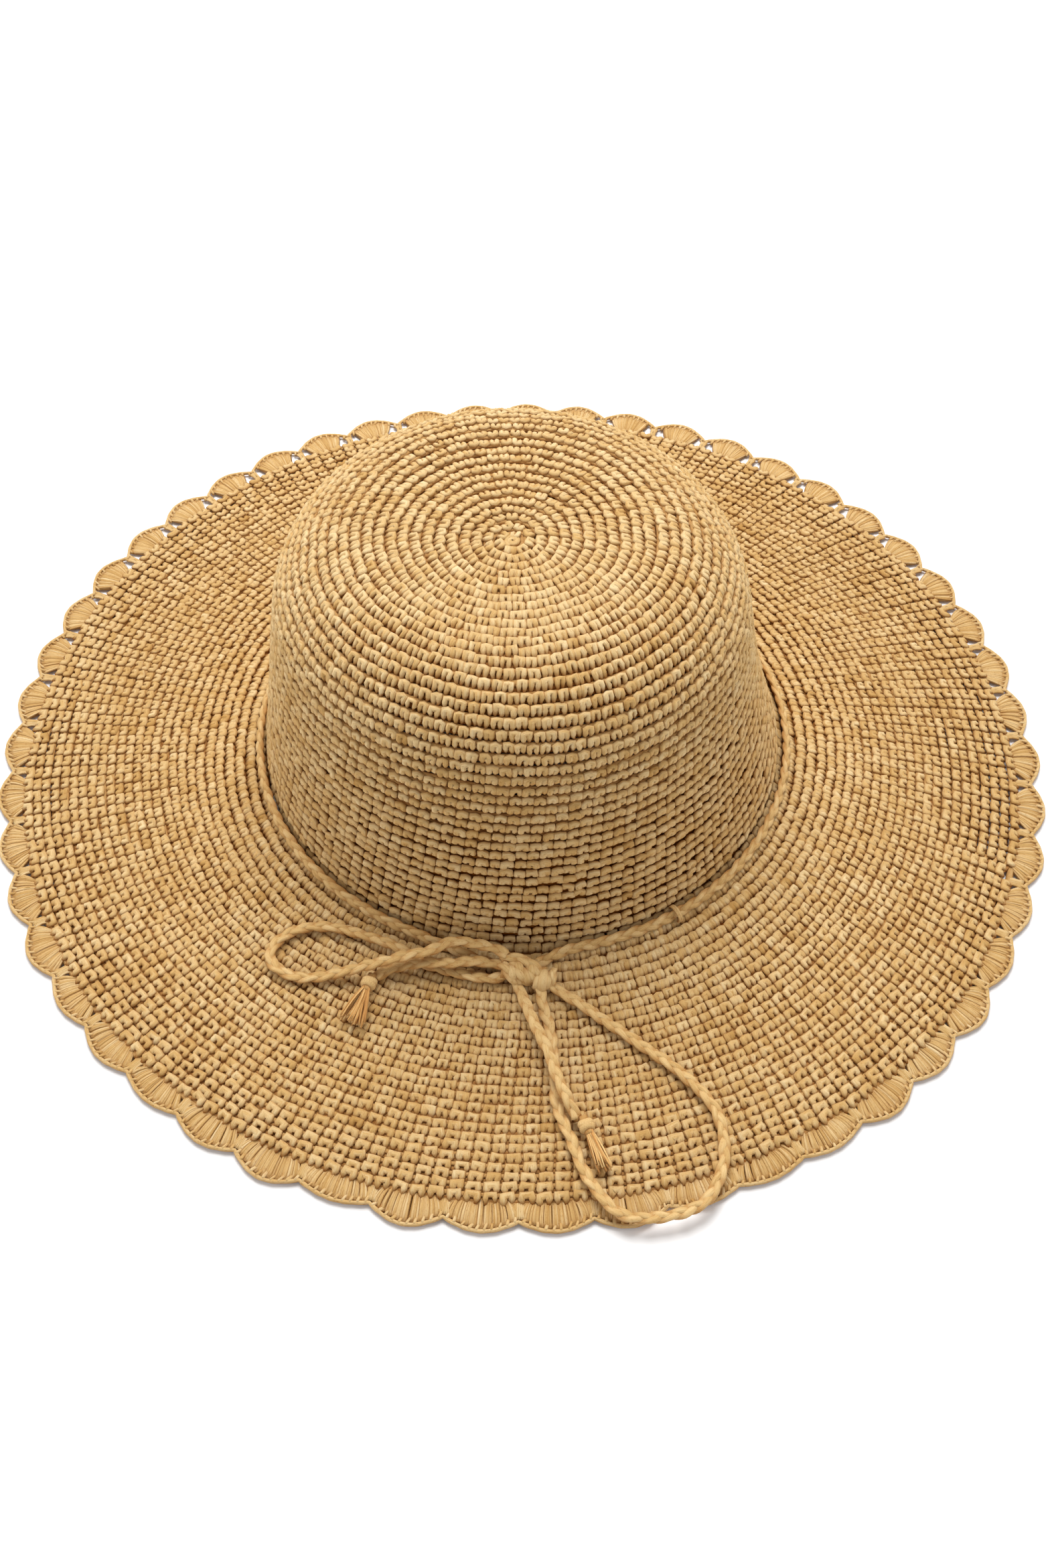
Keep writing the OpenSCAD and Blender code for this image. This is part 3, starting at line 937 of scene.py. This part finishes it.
def notch_stem(strands, notch):
    """The slip stitches that hold the edge down between two shells."""
    out = np.array([math.cos(notch), math.sin(notch), 0])
    side = np.array([-math.sin(notch), math.cos(notch), 0])
    t = np.linspace(0, 1, 6)[:, None]
    wide = STEM_W - STEM_LESS * at_back(notch)
    for lane in np.linspace(-wide, wide, 6):
        line = (BRIM_R - 1 + (NOTCH_R - BRIM_R - 0.4) * t) * out
        line = line + lane * (1 - 0.35 * np.sin(math.pi * t)) * side
        line = line + UP * (1.5 + 0.35 * np.sin(math.pi * t) - 0.12 * abs(lane))
        strands.add(line, 0.5, 0.55, UP, 6, 0.5 + 0.08 * lane)


def rungs(strands, middle, short):
    """The short stitches under the rim cord, with a small dark gap between them."""
    t = np.linspace(0, 1, 4)
    for share in (np.arange(LINKS) + 0.5) / LINKS * 2 - 1:
        lean = 0.05 + 0.03 * rng.standard_normal()
        inset = 0.7 + (1.9 + 0.25 * rng.standard_normal()) * t
        height = 1.75 + 0.25 * np.sin(math.pi * t) - 0.5 * t
        line = shell_point(middle, short, share + lean * t, inset, height)
        strands.add(line, RUNG_W * (1 + 0.12 * rng.standard_normal()), 0.6, UP, 6,
                    np.clip(0.5 + 0.12 * rng.standard_normal(), 0, 1))


def make_shells():
    halves, chain = (Strands(), Strands()), Strands()
    rim_lines = []
    for k in range(SHELL_N):
        middle = FIRST_NOTCH + (2 * k + 1) * HALF_PITCH
        posts = halves[2 * k // SHELL_N]
        short = rng.uniform(0, UNEVEN + UNEVEN_MORE * float(at_front(middle)))
        short -= BACK_REACH * max(0.0, math.sin(middle))
        fan(posts, middle, short)
        notch_stem(posts, middle - HALF_PITCH)
        rungs(chain, middle, short)
        rim_lines.append(shell_point(middle, short, np.linspace(-1, 1, 25)[:-1], 0.65, 1.5))
    rim = np.vstack(rim_lines + [rim_lines[0][:1]])
    thick = RIM_CORD_R * (1 + 0.1 * np.sin(np.arange(len(rim)) * 1.3))
    chain.add(rim, thick[None], 0.75, UP, 8, 0.5)
    for i, posts in enumerate(halves):
        theta = FIRST_NOTCH + math.pi * np.linspace(i, i + 1, FOOT_CORD_POINTS)
        place, _, _, _ = surface_frames(theta, np.full(FOOT_CORD_POINTS, RIM_S - 0.9))
        wide = 1.3 - 0.6 * at_back(theta)
        # The foot cord under the shells is given painted shade
        posts.add(place - 1.7 * UP, wide[None], 0.75, UP, 6, 0.4, 0.7)
        finish(posts.build(f"shell_posts_{i + 1}"), crochet_straw, "hat", "raffia_crochet",
               "scallop_shells")
    finish(chain.build("shell_chain"), crochet_straw, "hat", "raffia_crochet", "edge_chain")


make_shells()

# ------------------------------------------------------------- band and knot

# How far the knot draws the band out, and over how many degrees to each side
DRAWN_OUT = 5.8 + BAND_SNUG
DRAWN_OVER = (6.5, 13.0)
BEAD_R = 3.7
KEEPER_RING_R = 2.95


def make_band():
    """The plaited band round the crown, drawn out to the knot at its front."""
    a = np.radians(np.linspace(-90 + 3, 270 - 3, 260))
    turned = np.degrees(a)
    near = (np.exp(-((turned + 90) / DRAWN_OVER[0]) ** 2)
            + np.exp(-((turned - 270) / DRAWN_OVER[1]) ** 2))
    r = BAND_R + DRAWN_OUT * near
    points = np.column_stack([r * np.cos(a), r * np.sin(a), BAND_Z + 0.5 * near])
    points = resample(points, PLY_STEP)
    flat_to = unit(np.column_stack([points[:, :2], np.full(len(points), 70.0)]))
    strands = Strands(CORD_UNDERSIDE_SHADE)
    plait(strands, points, flat_to)
    finish(strands.build("plait_band"), plaited_straw, "band", "raffia_plait", "band_cord")


def make_bow_knot():
    """The tied knot: a broad turn over the core, a tight round bead, and a small lug."""
    lo, hi = box_mm("bow_knot")
    y, z = (lo[1] + hi[1]) / 2 - 1.2, (lo[2] + hi[2]) / 2 - 0.3
    strands = Strands(CORD_UNDERSIDE_SHADE)

    def turn_about(x0, x1, start, stop, radius, count=60, aside=0.0):
        a = np.radians(np.linspace(start, stop, count))
        centre = np.column_stack([np.linspace(x0, x1, count), np.full(count, y - aside),
                                  np.full(count, z - 0.35 * aside)])
        out = np.column_stack([np.zeros(count), -np.cos(a), np.sin(a)])
        return centre + radius * out, out

    core = smooth_curve([(-6, y + 0.5, z), (-1, y, z - 0.3), (4, y, z - 0.3), (9, y, z)],
                        PLY_STEP)
    # The core under the turns is given painted shade
    strands.add(core, 2.3, 2.2, UP, 12, 0.45, 0.5)
    for x0, x1, start, stop, radius, size in (
            (2.5, -6.8, -120, 190, 2.8, 1.15),
            (6.0, -3.5, -110, 190, 2.9, 1.15),
            (8.0, 1.5, -150, 200, 2.5, 1.1)):
        line, out = turn_about(x0, x1, start, stop, radius)
        plait(strands, line, out, size, 15, 0.3 * x0, 0.62, taper=3)
    for i, slant in enumerate((-1.9, 0, 1.9)):
        line, out = turn_about(6.6 + 0.8 * slant, 8.4 + 0.8 * slant, -110, 160, 1, 30, 2.2)
        bulge = math.sqrt(BEAD_R**2 - (slant * 1.2) ** 2)
        line = line + (bulge - 1.7) * out
        strands.add(line, 1.5, 0.9, out, 12, 0.66 + 0.05 * (i % 2))
    line, out = turn_about(10.6, 11.4, -60, 200, 2.7, 40, 1.2)
    plait(strands, line, out, 0.62, 12, 0.5, 0.7, taper=2)
    top = smooth_curve([(-6, y + 4.4, z + 3), (-1.5, y + 4, z + 3.3), (3, y + 2.4, z + 2.8),
                        (6.5, y - 0.6, z + 1.9), (8.4, y - 2.4, z + 0.8)], PLY_STEP)
    plait(strands, top, UP, 1.0, PLY_PITCH, 0.0, 0.55)
    finish(strands.build("knot_bow"), plaited_straw, "band", "raffia_plait", "bow_knot")


def make_keepers():
    """Two strands of thread round the band at each keeper."""
    for name in ("front_keeper", "back_keeper"):
        lo, hi = box_mm(name)
        mid = (lo + hi) / 2
        angle = math.atan2(mid[1], mid[0])
        out = np.array([math.cos(angle), math.sin(angle), 0])
        mid = mid - BAND_SNUG * out
        strands = Strands()
        for shift in (-0.35, 0.4):
            a = np.linspace(0, TAU, 26)[:, None]
            ring = mid + KEEPER_RING_R * (np.cos(a) * out + np.sin(a) * UP)
            ring = ring + np.cross(out, UP) * (shift + 0.25 * np.sin(a))
            strands.add(ring, 0.5, 0.32, unit(ring - mid)[None], 8, 0.6)
        finish(strands.build("thread_" + name), plaited_straw, "hat", "raffia_thread", name)


# ------------------------------------------------------------------ sweatband

TAPE_LOW, TAPE_HIGH = (corner[2] for corner in box_mm("sweatband"))
TAPE_R = box_mm("sweatband")[1][0]
TAPE_T = 0.8
TAPE_GAP = 0.25
SEW_STITCHES = 60
SEW_L = 5
SEW_R = 0.35
SEW_Z = TAPE_LOW + 2.5
TAPE_STOPS = ((0.2, (188, 172, 146)), (0.5, (214, 200, 174)), (0.8, (228, 217, 194)))


def tape_place(theta, z, inside):
    """On the tape, `inside` mm in from the face that lies on the straw."""
    r = TAPE_R - TAPE_GAP - (z - TAPE_LOW) * math.tan(WALL_LEAN) - inside
    z = z + 0 * r
    return np.stack([slumped(r * np.cos(theta), z), r * np.sin(theta), z], axis=-1)


def tape_material():
    """Woven cotton tape: fine upright ribs, crossed by finer weft."""
    n = Nodes("cotton_tape")
    uv = n.put("ShaderNodeUVMap")
    uv.uv_map = "OFBake"
    ribs = n.put("ShaderNodeTexWave", Vector=n.scaled(uv.outputs[0], (1, 0, 0)), Scale=110.0,
                 Distortion=0.3)
    weft = n.put("ShaderNodeTexWave", Vector=n.scaled(uv.outputs[0], (0, 1, 0)), Scale=20.0,
                 Distortion=0.6)
    wear = n.noise(n.object_place(), 60.0, 3.0)
    weave = n.math("ADD", n.math("MULTIPLY", ribs.outputs["Fac"], 0.5),
                   n.math("MULTIPLY", weft.outputs["Fac"], 0.2))
    fac = n.math("ADD", weave, n.math("MULTIPLY", wear, 0.3), clamp=True)
    colour = n.ramp(fac, TAPE_STOPS)
    n.feed(n.shader, "Base Color", colour)
    n.feed(n.shader, "Roughness", n.math("ADD", 0.75, n.math("MULTIPLY", wear, 0.15)))
    n.shader.inputs["Sheen Weight"].default_value = 0.1
    n.shader.inputs["Specular IOR Level"].default_value = 0.2
    n.bump(weave, 0.0003, 0.7)
    return n.material


def make_sweatband():
    """A tape round the head opening, of which the ends overlap at the back."""
    around, up = 480, 8
    lap = TAU * 0.02
    theta = np.linspace(math.pi / 2, math.pi / 2 + TAU + lap, around)
    section = [(z, 0) for z in np.linspace(TAPE_LOW + 0.1, TAPE_HIGH - 0.1, up)]
    section += [(z, TAPE_T - 0.2) for z in np.linspace(TAPE_HIGH - 0.1, TAPE_LOW + 0.1, up)]
    k = len(section)
    step_in = 0.75 * np.clip((theta - theta[0] - TAU) / lap * 4 + 1, 0, 1)
    verts = np.stack([tape_place(theta, np.full(around, z), inside + step_in)
                      for z, inside in section], axis=1)
    i, j = np.meshgrid(np.arange(around - 1), np.arange(k), indexing="ij")
    ci = np.stack([i, i, i + 1, i + 1], axis=-1)
    cj = np.stack([j, j + 1, j + 1, j], axis=-1)
    loops = (ci * k + cj % k).reshape(-1)
    uv = np.stack([0.01 + 0.98 * ci / (around - 1), 0.02 + 0.96 * cj / k], axis=-1)
    uv = uv.reshape(-1, 2)
    ends = np.concatenate([np.arange(k)[::-1], (around - 1) * k + np.arange(k)])
    corner = np.zeros((2 * k, 2)) + np.repeat([[0.004, 0.5], [0.996, 0.5]], k, axis=0)
    corner[:, 1] += 0.4 * np.tile(np.arange(k) / k - 0.5, 2)
    corner[:, 0] += 0.003 * np.tile(np.cos(TAU * np.arange(k) / k), 2)
    loops = np.concatenate([loops, ends])
    quads = (around - 1) * k
    starts = np.concatenate([4 * np.arange(quads), 4 * quads + np.array([0, k])])
    count = len(loops)
    tape = mesh_object("tape_sweatband", verts.reshape(-1, 3), loops, starts,
                       np.zeros((count, 3)), np.zeros(count), np.ones(len(verts) * k),
                       np.vstack([uv, corner]))
    finish(tape, tape_material(), "hat", "cotton_tape", "sweatband")
    line = tape_place(theta, np.full(around, (TAPE_LOW + TAPE_HIGH) / 2), 0.4)
    thread = Strands()
    t = np.linspace(-0.5, 0.5, 9)
    for k in range(SEW_STITCHES):
        theta = TAU * (k + 0.5) / SEW_STITCHES + SEW_L * t / TAPE_R
        lift = TAPE_T - 0.35 + 0.35 * np.cos(math.pi * t)
        slant = SEW_Z + 0.5 * np.sin(math.pi * t)
        line = tape_place(theta, slant, lift)
        inward = unit(line * (-1, -1, 0))
        thread.add(line, SEW_R, SEW_R * 0.8, inward[None], 8, 0.5 + 0.2 * (k % 2))
    finish(thread.build("thread_sweatband"), plaited_straw, "hat", "sewing_thread",
           "sweatband_stitching")


make_sweatband()
make_band()
make_bow_knot()
make_keepers()

# ---------------------------------------------------------------- floor, light

FLOOR_TONE = 0.97
WORLD_STRENGTH = 0.39
# Name, place, target and size in metres, and power in watts
LIGHTS = (
    ("key", (-0.05, 0.5, 1.15), (0, 0, 0), 0.8, 18.2),
    ("left", (-1.5, -0.3, 0.45), (0, 0, 0.05), 0.8, 7.2),
    ("right", (1.5, -0.3, 0.45), (0, 0, 0.05), 0.8, 6.6),
    ("front", (-0.3, -1.6, 1.0), (0, 0, 0.03), 1.2, 1.6),
)


def make_stage():
    bpy.ops.mesh.primitive_plane_add(size=8, location=(0, 0, 0))
    floor = bpy.context.object
    floor.name = "floor"
    n = Nodes("floor")
    n.shader.inputs["Base Color"].default_value = (FLOOR_TONE, FLOOR_TONE, FLOOR_TONE, 1)
    n.shader.inputs["Roughness"].default_value = 0.9
    floor.data.materials.append(n.material)


def area_light(name, place, target, size, power):
    data = bpy.data.lights.new(name, "AREA")
    data.size = size
    data.energy = power
    obj = bpy.data.objects.new(name, data)
    obj.location = place
    direction = Vector(target) - Vector(place)
    obj.rotation_euler = direction.to_track_quat("-Z", "Y").to_euler()
    bpy.context.scene.collection.objects.link(obj)


def make_lights():
    for light in LIGHTS:
        area_light(*light)
    world = bpy.data.worlds.new("studio")
    world.use_nodes = True
    background = world.node_tree.nodes["Background"]
    background.inputs["Color"].default_value = (1, 1, 1, 1)
    background.inputs["Strength"].default_value = WORLD_STRENGTH
    bpy.context.scene.world = world
    bpy.context.scene.view_settings.view_transform = "Standard"


make_stage()
make_lights()
